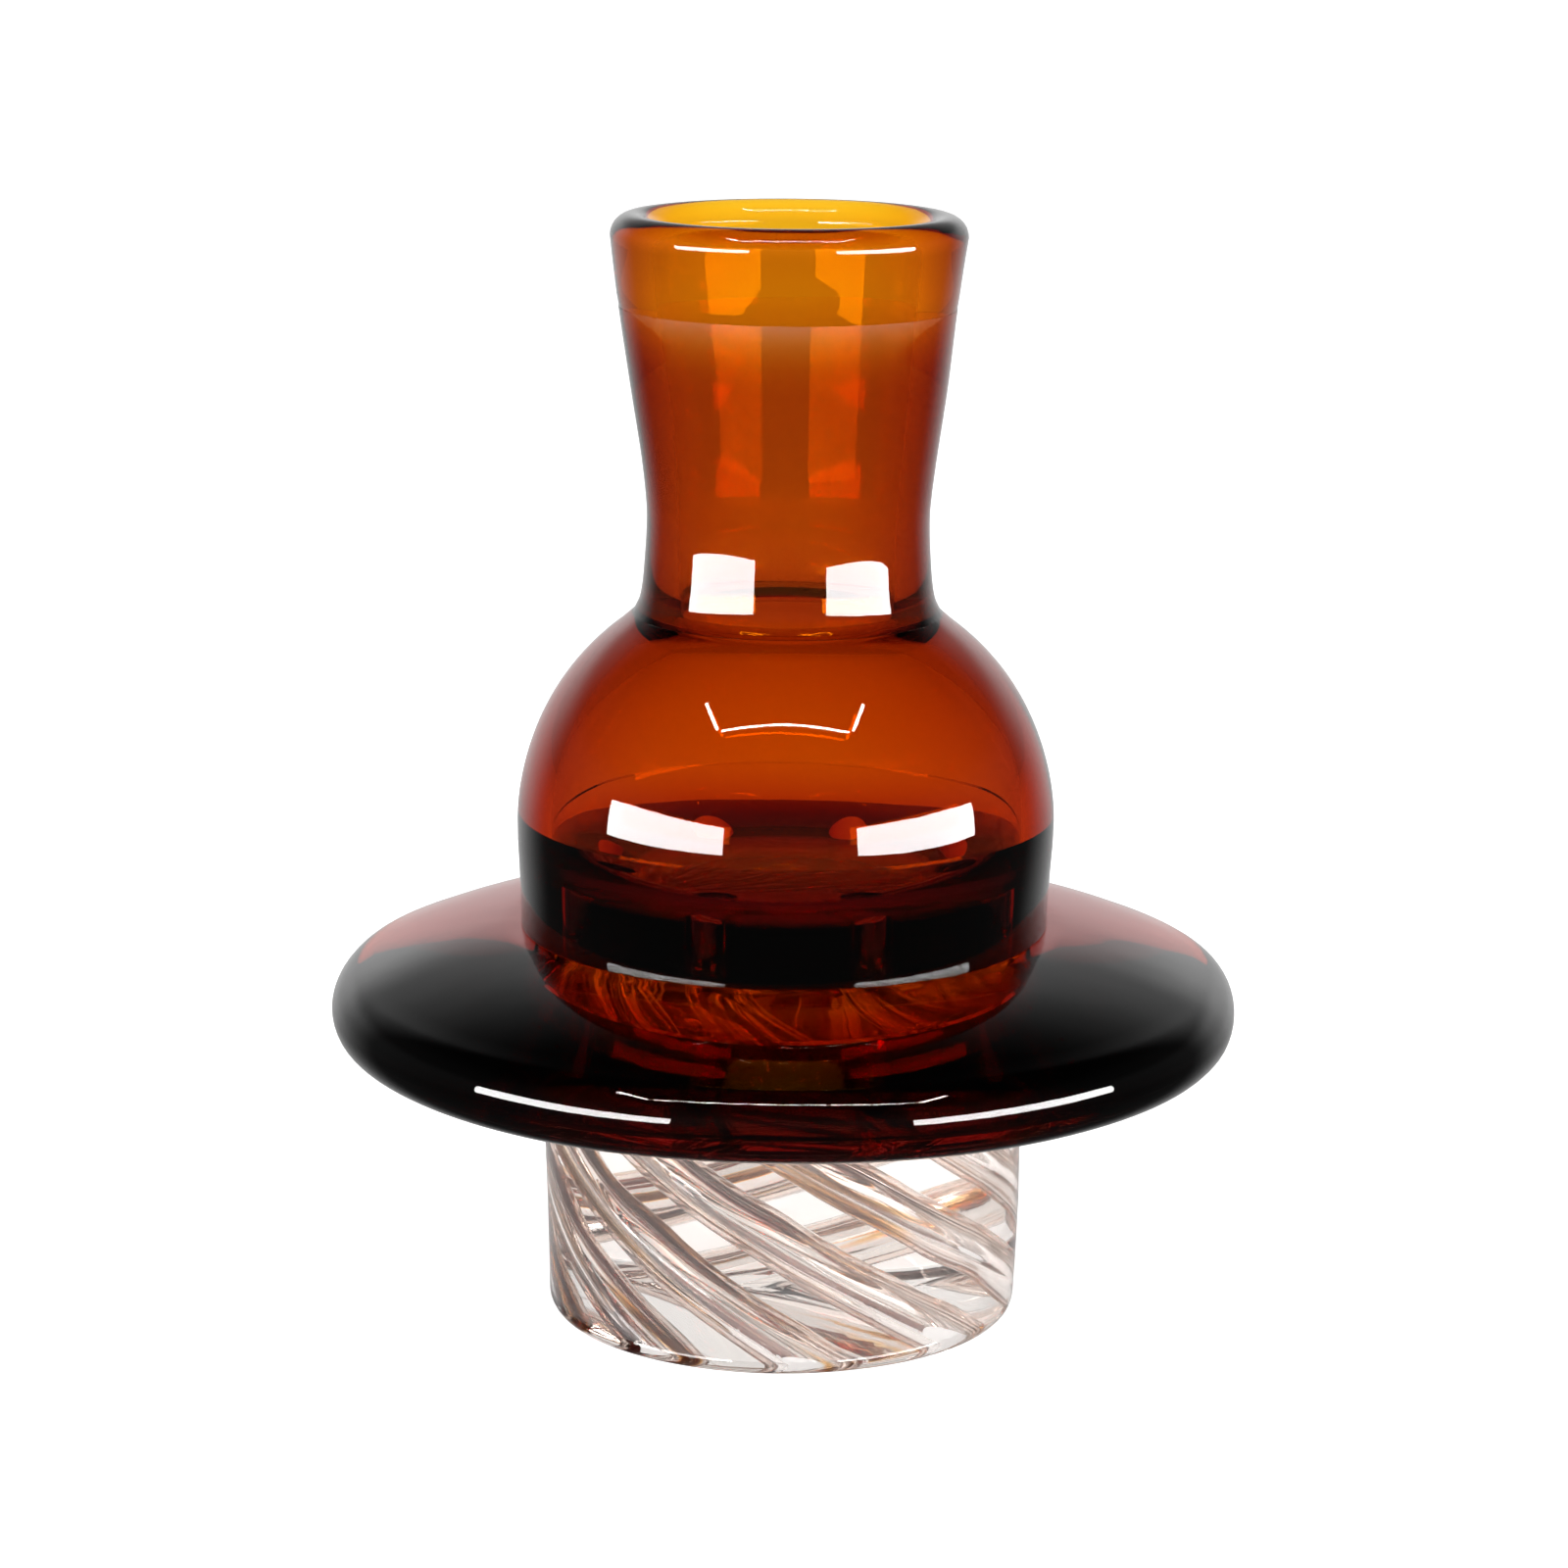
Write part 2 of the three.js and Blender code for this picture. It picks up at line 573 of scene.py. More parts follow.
def twisted_rod(name, tip, radius, bore, low, high):
    """Extrudes a round section up the twisted path of the first air tube, hollow where bore isn't 0.

    Each section lies level, so it is stretched along the ring by as much as the path leans.
    """
    bpy.ops.object.select_all(action="DESELECT")
    bpy.ops.mesh.primitive_circle_add(
        vertices=TUBE_SIDES, radius=radius, fill_type="NGON", location=(0, 0, 0)
    )
    rod = start_piece(name)
    if bore:
        bpy.ops.mesh.inset(thickness=radius - bore)
        bpy.ops.mesh.delete(type="FACE")
        bpy.ops.mesh.select_all(action="SELECT")
    bpy.ops.transform.translate(value=(tip.tube_ring, 0, low))
    angle, stretch = 0.0, 1.0
    for i in range(TUBE_STEPS + 1):
        height = low + (high - low) * i / TUBE_STEPS
        if i:
            step = (0, 0, (high - low) / TUBE_STEPS)
            bpy.ops.mesh.extrude_region_move(TRANSFORM_OT_translate={"value": step})
            turn(-angle)
        new_angle, slope = twist_at(tip, height)
        lean = math.hypot(1, tip.tube_ring * slope)
        bpy.ops.transform.resize(
            value=(1, lean / stretch, 1), center_override=(tip.tube_ring, 0, height)
        )
        turn(new_angle)
        angle, stretch = new_angle, lean
    return face_outwards(rod)


def air_holes(tip, low, high):
    """Upright cutters that carry every air tube's bore on through the glass above the tip."""
    angle = twist_at(tip, tip.height)[0]
    bpy.ops.object.select_all(action="DESELECT")
    bpy.ops.mesh.primitive_cylinder_add(
        vertices=2 * TUBE_SIDES,
        radius=tip.tube_bore,
        depth=high - low,
        location=(
            tip.tube_ring * math.cos(angle),
            tip.tube_ring * math.sin(angle),
            (low + high) / 2,
        ),
    )
    bpy.ops.object.transform_apply(location=True, rotation=True, scale=True)
    return joined(ring_of_copies(bpy.context.active_object, tip.tube_count))


def stray(piece, name, reach, size, group=""):
    """Shifts a piece sideways by soft clouds, which are the same for every piece so that seams hold."""
    only(piece)
    for direction, longer in (("X", 1), ("Y", 1.6)):
        cloud = bpy.data.textures.get(f"{name}_{direction}")
        if cloud is None:
            cloud = bpy.data.textures.new(f"{name}_{direction}", "CLOUDS")
            cloud.noise_scale = size * longer
            cloud.noise_depth = 0
        bpy.ops.object.modifier_add(type="DISPLACE")
        change = piece.modifiers[-1]
        change.texture = cloud
        change.texture_coords = "LOCAL"
        change.direction = direction
        change.strength = reach
        change.mid_level = 0.5
        change.vertex_group = group
        bpy.ops.object.modifier_apply(modifier=change.name)


def softened_inside(piece, tip):
    """Lets the glass round the air tubes wander and leaves the tip's outside round."""
    outside = tip.tube_ring + tip.tube_bore + tip.tube_wall
    inner = piece.vertex_groups.new(name="inner")
    for vertex in piece.data.vertices:
        depth = outside - math.hypot(vertex.co.x, vertex.co.y)
        weight = min(max(depth / (2 * tip.tube_bore), 0), 1)
        inner.add([vertex.index], weight, "REPLACE")
    stray(piece, "flow", tip.flow, tip.flow_size, inner.name)
    piece.vertex_groups.clear()


def finish_piece(piece, material, slot, *nodes):
    """Gives a piece its finish and hides the frame nodes it stands for."""
    glass_sizes = bpy.context.scene.cap_glass
    stray(piece, "hand", glass_sizes.wobble, glass_sizes.wobble_size)
    piece.data.materials.clear()
    piece.data.materials.append(material)
    only(piece)
    bpy.ops.object.shade_smooth_by_angle(angle=SMOOTH_ANGLE)
    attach(piece, "root")
    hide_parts(*nodes)
    bpy.ops.object.select_all(action="DESELECT")


# ------------------------------------------------------------------ glass
GLASS_IOR = 1.47
DRAWN_OUT = (1, 1, 0.35)  # streaks run up the piece, the way the glass was pulled
DRAWN_ALONG_TUBE = (1, 1, 0.16)
CLEAR = (0.99, 0.985, 0.98)
# Painted reflections for the air tubes' colour: dark for the dark room in front, gold for the amber glass
# above.
PAINTED_AMBER_REFLECTION = (0.85, 0.42, 0.1)
PAINTED_DARK_REFLECTION = (0.13, 0.045, 0.015)


def glass(name, absorbed, tint, ripple, ripple_size, roughness):
    """Solid glass: coloured by what it absorbs, with faint streaks, ripples and handling marks.

    The ripple is a height and ripple_size its length. The tint colours the streaks.
    """
    material = bpy.data.materials.new(name)
    material.use_nodes = True
    nodes, links = material.node_tree.nodes, material.node_tree.links
    nodes.clear()
    output = nodes.new("ShaderNodeOutputMaterial")
    surface = nodes.new("ShaderNodeBsdfPrincipled")
    surface.inputs["Transmission Weight"].default_value = 1
    surface.inputs["IOR"].default_value = GLASS_IOR
    surface.inputs["Metallic"].default_value = 0
    links.new(surface.outputs["BSDF"], output.inputs["Surface"])

    place = nodes.new("ShaderNodeTexCoord")
    drawn_out = nodes.new("ShaderNodeMapping")
    drawn_out.inputs["Scale"].default_value = DRAWN_OUT
    links.new(place.outputs["Object"], drawn_out.inputs["Vector"])

    streaks = nodes.new("ShaderNodeTexNoise")
    streaks.inputs["Scale"].default_value = 260
    streaks.inputs["Detail"].default_value = 3
    streaks.inputs["Distortion"].default_value = 0.6
    links.new(drawn_out.outputs["Vector"], streaks.inputs["Vector"])
    streak_colour = nodes.new("ShaderNodeValToRGB")
    streak_colour.color_ramp.elements[0].position = 0.3
    streak_colour.color_ramp.elements[0].color = (*tint, 1)
    streak_colour.color_ramp.elements[1].position = 0.62
    streak_colour.color_ramp.elements[1].color = (1, 1, 1, 1)
    links.new(streaks.outputs["Fac"], streak_colour.inputs["Fac"])
    links.new(streak_colour.outputs["Color"], surface.inputs["Base Color"])

    marks = nodes.new("ShaderNodeTexNoise")
    marks.inputs["Scale"].default_value = 900
    marks.inputs["Detail"].default_value = 4
    links.new(place.outputs["Object"], marks.inputs["Vector"])
    polish = nodes.new("ShaderNodeMapRange")
    polish.inputs["From Min"].default_value = 0.45
    polish.inputs["From Max"].default_value = 0.8
    polish.inputs["To Min"].default_value = 0
    polish.inputs["To Max"].default_value = roughness
    links.new(marks.outputs["Fac"], polish.inputs["Value"])
    links.new(polish.outputs["Result"], surface.inputs["Roughness"])

    waves = nodes.new("ShaderNodeTexNoise")
    waves.inputs["Scale"].default_value = 1 / ripple_size
    waves.inputs["Detail"].default_value = 1
    links.new(place.outputs["Object"], waves.inputs["Vector"])
    bump = nodes.new("ShaderNodeBump")
    bump.inputs["Strength"].default_value = 1
    bump.inputs["Distance"].default_value = ripple
    links.new(waves.outputs["Fac"], bump.inputs["Height"])
    links.new(bump.outputs["Normal"], surface.inputs["Normal"])

    strongest = max(absorbed)
    inside = nodes.new("ShaderNodeVolumeAbsorption")
    inside.inputs["Color"].default_value = (*(1 - a / strongest for a in absorbed), 1)
    inside.inputs["Density"].default_value = strongest / MM
    links.new(inside.outputs["Volume"], output.inputs["Volume"])
    return material


def amber_glass(name, absorbed):
    """Amber glass, a little rippled by the flame."""
    return glass(name, absorbed, (1, 0.95, 0.88), 0.012 * MM, 3.2 * MM, 0.012)


def clear_glass(name, absorbed):
    """Clear glass with a faint warm cast."""
    return glass(name, absorbed, CLEAR, 0.008 * MM, 2.2 * MM, 0.004)


def tube_glass(name, absorbed, tip):
    """Clear glass with dark and gold lines painted into its colour along a twisted tube's walls: painted
    reflections of the dark room and of the amber glass above.
    """
    material = clear_glass(name, absorbed)
    nodes, links = material.node_tree.nodes, material.node_tree.links
    place = nodes.new("ShaderNodeTexCoord")
    parts = nodes.new("ShaderNodeSeparateXYZ")
    links.new(place.outputs["Object"], parts.inputs["Vector"])
    twist = nodes.new("ShaderNodeMath")
    twist.operation = "DIVIDE"
    twist.inputs[1].default_value = tip.rise_per_radian
    links.new(parts.outputs["Z"], twist.inputs[0])
    unwound = nodes.new("ShaderNodeVectorRotate")
    unwound.rotation_type = "Z_AXIS"
    links.new(place.outputs["Object"], unwound.inputs["Vector"])
    links.new(twist.outputs["Value"], unwound.inputs["Angle"])
    drawn_out = nodes.new("ShaderNodeMapping")
    drawn_out.inputs["Scale"].default_value = DRAWN_ALONG_TUBE
    links.new(unwound.outputs["Vector"], drawn_out.inputs["Vector"])
    lines = nodes.new("ShaderNodeTexNoise")
    lines.inputs["Scale"].default_value = 380
    lines.inputs["Detail"].default_value = 1.2
    lines.inputs["Distortion"].default_value = 0.4
    links.new(drawn_out.outputs["Vector"], lines.inputs["Vector"])
    colour = nodes.new("ShaderNodeValToRGB")
    # The ramp paints the dark and gold reflection lines. Between them the glass stays clear.
    stops = (
        (0.0, PAINTED_DARK_REFLECTION),
        (0.31, PAINTED_DARK_REFLECTION),
        (0.335, PAINTED_AMBER_REFLECTION),
        (0.36, CLEAR),
        (0.65, CLEAR),
        (0.67, PAINTED_AMBER_REFLECTION),
        (0.69, PAINTED_DARK_REFLECTION),
    )
    elements = colour.color_ramp.elements
    while len(elements) < len(stops):
        elements.new(0.5)
    for element, (position, tone) in zip(elements, stops):
        element.position = position
        element.color = (*tone, 1)
    links.new(lines.outputs["Fac"], colour.inputs["Fac"])
    surface = next(n for n in nodes if n.type == "BSDF_PRINCIPLED")
    links.new(colour.outputs["Color"], surface.inputs["Base Color"])
    return material


def shared_clear_glass():
    """The one clear glass that the sleeve and the core are made of."""
    made = bpy.data.materials.get("clear_tip_glass")
    return made or clear_glass("clear_tip_glass", bpy.context.scene.cap_colours.tip)


# ------------------------------------------------------------------ pieces
def neck_outside(glass_sizes, neck, bulb):
    """The neck's outside, from the seam with the bulb up to the lip's rounding."""
    return smooth_through(
        [
            (neck.seam_radius, bulb.top - glass_sizes.overlap),
            *in_metres(NECK_OUTSIDE),
            (neck.lip_radius, neck.top - neck.lip_wall / 2),
        ],
        6,
    )


def casing_at(neck, height):
    """Thickness of the casing at a height: full below, thinning out to nothing at its top."""
    left = min(max((neck.casing_top - height) / neck.casing_fade, 0), 1)
    return neck.casing * left * left * (3 - 2 * left)


class CAP_OT_neck(bpy.types.Operator):
    """Build the flared amber neck up to its lip"""

    bl_idname = "cap.neck"
    bl_label = "Build Neck"

    def execute(self, context):
        glass_sizes, neck, bulb = (
            context.scene.cap_glass,
            context.scene.cap_neck,
            context.scene.cap_bulb,
        )
        rounding = neck.lip_wall / 2
        lip = (neck.lip_radius - rounding, neck.top - rounding)
        outside = []
        for radius, height in neck_outside(glass_sizes, neck, bulb):
            under = max(casing_at(neck, height) - glass_sizes.overlap, 0)
            outside.append((radius - under, height))
        inside = smooth_through(
            [
                (lip[0] - rounding, lip[1]),
                *in_metres(NECK_FLARE_INSIDE),
                (neck.bore_radius, 31 * MM),
                (neck.bore_radius, 29 * MM),
                (neck.bore_radius, outside[0][1]),
            ],
            5,
        )
        over_lip = arc(lip, rounding, rounding, 0, 180, 14)[1:-1]
        piece = turned_piece("neck", [*outside, *over_lip, *inside], True)
        material = amber_glass("amber_neck_glass", context.scene.cap_colours.neck)
        finish_piece(piece, material, "amber_glass", "neck_tube")
        return {"FINISHED"}


class CAP_OT_neck_casing(bpy.types.Operator):
    """Build the darker amber layer that cases the neck below its lip"""

    bl_idname = "cap.neck_casing"
    bl_label = "Build Neck Casing"

    def execute(self, context):
        glass_sizes, neck = context.scene.cap_glass, context.scene.cap_neck
        outside = [
            point
            for point in neck_outside(glass_sizes, neck, context.scene.cap_bulb)
            if casing_at(neck, point[1]) > glass_sizes.overlap
        ]
        inside = [(r - casing_at(neck, z), z) for r, z in outside]
        piece = turned_piece("neck_casing", [*outside, *inside[::-1]], True)
        material = amber_glass("casing_glass", context.scene.cap_colours.casing)
        finish_piece(piece, material, "amber_glass", "neck_tube")
        return {"FINISHED"}


class CAP_OT_bulb(bpy.types.Operator):
    """Build the blown amber bulb with its chamber and air holes"""

    bl_idname = "cap.bulb"
    bl_label = "Build Bulb"

    def execute(self, context):
        glass_sizes, bulb, neck = (
            context.scene.cap_glass,
            context.scene.cap_bulb,
            context.scene.cap_neck,
        )
        brim, tip = context.scene.cap_brim, context.scene.cap_tip
        foot = brim.collar_height - glass_sizes.overlap
        top = bulb.top
        middle = (0, bulb.widest_height)
        shoulder = math.degrees(math.acos(6.35 * MM / bulb.radius))
        throat = math.degrees(math.acos(4.7 * MM / bulb.chamber_radius))
        corner = (
            bulb.chamber_radius - bulb.floor_rounding,
            bulb.floor_height + bulb.floor_rounding,
        )
        outside = [
            (0, foot),
            (3 * MM, foot),
            (6 * MM, foot),
            (10.08 * MM, foot),
            *in_metres(BULB_FOOT),
            (bulb.radius - 0.03 * MM, 18.6 * MM),
            *arc(middle, bulb.radius, bulb.dome_height, 0, shoulder, 26),
            (6.1 * MM, top - 0.22 * MM),
            (neck.seam_radius, top),
        ]
        inside = [
            (neck.bore_radius, top),
            (neck.bore_radius + 0.05 * MM, top - 0.3 * MM),
            (neck.bore_radius + 0.25 * MM, top - 0.6 * MM),
            *arc(middle, bulb.chamber_radius, bulb.chamber_height, throat, 0, 22),
            *arc(corner, bulb.floor_rounding, bulb.floor_rounding, 0, -90, 12)[1:],
            (4 * MM, bulb.floor_height),
            (2 * MM, bulb.floor_height),
            (0, bulb.floor_height),
        ]
        piece = turned_piece("bulb", [*outside, *inside], False)
        cut(piece, air_holes(tip, foot - CUT_OVERRUN, bulb.widest_height - bulb.hole_margin))
        material = amber_glass("amber_bulb_glass", context.scene.cap_colours.bulb)
        finish_piece(piece, material, "amber_glass", "bulb_shell")
        return {"FINISHED"}


class CAP_OT_brim(bpy.types.Operator):
    """Build the wide amber brim with its socket and air holes"""

    bl_idname = "cap.brim"
    bl_label = "Build Brim"

    def execute(self, context):
        glass_sizes, brim, tip = (
            context.scene.cap_glass,
            context.scene.cap_brim,
            context.scene.cap_tip,
        )
        socket_radius = tip.radius + tip.flare - glass_sizes.overlap
        socket_top = tip.height - glass_sizes.overlap
        rounding = brim.edge_thickness / 2
        edge = (brim.radius - rounding, brim.underside + rounding)
        collar = (brim.collar_radius, brim.collar_height)
        reach = (collar[0] - edge[0], collar[1] - edge[1])
        # The top leaves the round edge where it is tangent to it.
        leaves = math.atan2(reach[1], reach[0]) - math.acos(rounding / math.hypot(*reach))
        leave = (
            edge[0] + rounding * math.cos(leaves),
            edge[1] + rounding * math.sin(leaves),
        )
        slope = []
        for i in range(SLOPE_STEPS):
            t = i / SLOPE_STEPS
            crown = brim.crown * 4 * t * (1 - t)
            slope.append(
                (
                    collar[0] + (leave[0] - collar[0]) * t,
                    collar[1] + (leave[1] - collar[1]) * t + crown,
                )
            )
        outline = [
            (0, socket_top),
            (4 * MM, socket_top),
            (socket_radius, socket_top),
            (socket_radius, brim.underside + brim.socket_edge),
            (socket_radius + brim.socket_edge, brim.underside),
            (12 * MM, brim.underside),
            *arc(edge, rounding, rounding, -90, math.degrees(leaves), 26),
            *slope[::-1],
            (6 * MM, brim.collar_height),
            (3 * MM, brim.collar_height),
            (0, brim.collar_height),
        ]
        piece = turned_piece("brim", outline, False)
        cut(piece, air_holes(tip, socket_top - CUT_OVERRUN, brim.collar_height + CUT_OVERRUN))
        material = amber_glass("amber_brim_glass", context.scene.cap_colours.brim)
        finish_piece(piece, material, "amber_glass", "brim_disc")
        return {"FINISHED"}


class CAP_OT_tip_sleeve(bpy.types.Operator):
    """Build the clear sleeve round the air tubes"""

    bl_idname = "cap.tip_sleeve"
    bl_label = "Build Tip Sleeve"

    def execute(self, context):
        tip = context.scene.cap_tip
        bore = tip.tube_ring + tip.tube_bore + tip.tube_wall
        rounding = tip.foot_rounding
        foot = (tip.radius - rounding, rounding)
        wall = [
            (tip.radius + tip.flare * min(i / FLARED_RINGS, 1), tip.height * i / WALL_RINGS)
            for i in range(1, WALL_RINGS + 1)
        ]
        outline = [
            (bore, 0),
            *arc(foot, rounding, rounding, -90, 0, 8),
            *wall,
            *[(bore, height) for _, height in wall[::-1]],
        ]
        piece = turned_piece("tip_sleeve_glass", outline, True)
        finish_piece(piece, shared_clear_glass(), "clear_glass", "tip_sleeve")
        return {"FINISHED"}


class CAP_OT_tip_core(bpy.types.Operator):
    """Build the clear core with the flutes that the air tubes lie in"""

    bl_idname = "cap.tip_core"
    bl_label = "Build Tip Core"

    def execute(self, context):
        glass_sizes, tip = context.scene.cap_glass, context.scene.cap_tip
        radius = tip.tube_ring + tip.tube_bore + tip.tube_wall + glass_sizes.overlap
        wall = [(radius, tip.height * i / WALL_RINGS) for i in range(WALL_RINGS + 1)]
        outline = [
            (0, 0),
            (3 * MM, 0),
            *wall,
            (3 * MM, tip.height),
            (0, tip.height),
        ]
        piece = turned_piece("tip_core_glass", outline, False)
        flute = twisted_rod(
            "flute",
            tip,
            tip.tube_bore + tip.tube_wall - glass_sizes.overlap,
            0,
            -CUT_OVERRUN,
            tip.height + CUT_OVERRUN,
        )
        cut(piece, joined(ring_of_copies(flute, tip.tube_count)))
        bpy.ops.mesh.primitive_uv_sphere_add(
            segments=24,
            ring_count=12,
            radius=BUBBLE_RADIUS,
            location=BUBBLE_PLACE,
        )
        bpy.ops.object.transform_apply(location=True, rotation=True, scale=True)
        cut(piece, bpy.context.active_object)
        softened_inside(piece, tip)
        finish_piece(piece, shared_clear_glass(), "clear_glass", "tip_core")
        return {"FINISHED"}


class CAP_OT_air_tubes(bpy.types.Operator):
    """Build the ring of twisted air tubes"""

    bl_idname = "cap.air_tubes"
    bl_label = "Build Air Tubes"

    def execute(self, context):
        tip = context.scene.cap_tip
        first = twisted_rod(
            "twisted_tube_1",
            tip,
            tip.tube_bore + tip.tube_wall,
            tip.tube_bore,
            0,
            tip.height,
        )
        # The tubes' glass: a faint real tint inside, with painted reflection lines on its walls.
        material = tube_glass("tinted_tube_glass_painted_reflections", context.scene.cap_colours.tubes, tip)
        for i, tube in enumerate(ring_of_copies(first, tip.tube_count)):
            tube.name = f"twisted_tube_{i + 1}"
            softened_inside(tube, tip)
            finish_piece(tube, material, "clear_glass", f"air_tube_{i + 1}")
        return {"FINISHED"}


# ------------------------------------------------------------------ studio
# Each soft box's name, its azimuth in degrees and its width.
SOFT_BOXES = (("left_box", -52, 0.36), ("right_box", 57, 0.37))
BOX_ELEVATION = 2.5  # degrees
BOX_HEIGHT = 0.088
BOX_DISTANCE = 0.35
BOX_RADIANCE = 24
# Each strip's name and its two ends. The three run along three sides of a frame overhead.
STRIPS = (
    ("front_strip", (-0.20, -0.235, 0.42), (0.20, -0.235, 0.42)),
    ("left_strip", (-0.21, -0.225, 0.42), (-0.205, -0.10, 0.42)),
    ("right_strip", (0.21, -0.225, 0.42), (0.205, -0.10, 0.42)),
)
STRIP_WIDTH = 0.009
STRIP_RADIANCE = 60
LIT_POINT = Vector((0, 0, 0.02))  # what every light faces

# Brightness of the surroundings, where the backdrop counts as 1. A row names the direction's
# axis, two places along it, and the brightness at each.
BACKDROP_SEEN = 1.05
THROUGH_GLASS = ("Y", -0.1, 0.65, 0.1, 0.95)
OFF_GLASS = ("Y", 0.5, 0.95, 0.07, 0.85)
# Brightness by height of the direction, brightest just above the horizon and fading overhead.
OFF_GLASS_BY_HEIGHT = ((-0.3, 0.6), (-0.08, 0.9), (0.2, 1.1), (0.4, 0.5), (0.8, 0.1))

FLOOR_SIZE = 4
FLOOR_DROP = 0.05 * MM
FLOOR_TONE = (0.86, 0.86, 0.86, 1)

CAMERA_PLACE = (0, -0.160, 0.0579)
CAMERA_DOWN = math.radians(13.1)
CAMERA_ROLL = math.radians(0.5)
CAMERA_LENS = 98.37
CAMERA_SHIFT = -0.0009


def towards(azimuth, elevation):
    """Direction from the cap. Azimuth is from the front, positive to the right, in degrees."""
    a, e = math.radians(azimuth), math.radians(elevation)
    return Vector((math.sin(a) * math.cos(e), -math.cos(a) * math.cos(e), math.sin(e)))


def soft_box(name, azimuth, width):
    """A soft box facing the cap, which shines off the glass and isn't seen straight through it."""
    away = towards(azimuth, BOX_ELEVATION)
    bpy.ops.object.light_add(type="AREA", location=LIT_POINT + away * BOX_DISTANCE)
    box = bpy.context.active_object
    box.name = name
    box.rotation_euler = away.to_track_quat("Z", "Y").to_euler()
    box.data.shape = "RECTANGLE"
    box.data.size = width
    box.data.size_y = BOX_HEIGHT
    box.data.energy = BOX_RADIANCE * math.pi * width * BOX_HEIGHT
    box.visible_camera = False
    box.visible_transmission = False
    return box


def strip_light(name, start, end):
    """A thin strip of light between two points, facing the cap."""
    start, end = Vector(start), Vector(end)
    middle, along = (start + end) / 2, (end - start).normalized()
    facing = (middle - LIT_POINT).normalized()
    across = facing.cross(along).normalized()
    bpy.ops.object.light_add(type="AREA", location=middle)
    strip = bpy.context.active_object
    strip.name = name
    facing = along.cross(across)
    strip.rotation_euler = Matrix((along, across, facing)).transposed().to_euler()
    strip.data.shape = "RECTANGLE"
    strip.data.size = (end - start).length
    strip.data.size_y = STRIP_WIDTH
    strip.data.energy = STRIP_RADIANCE * math.pi * strip.data.size * STRIP_WIDTH
    strip.visible_camera = False
    return strip


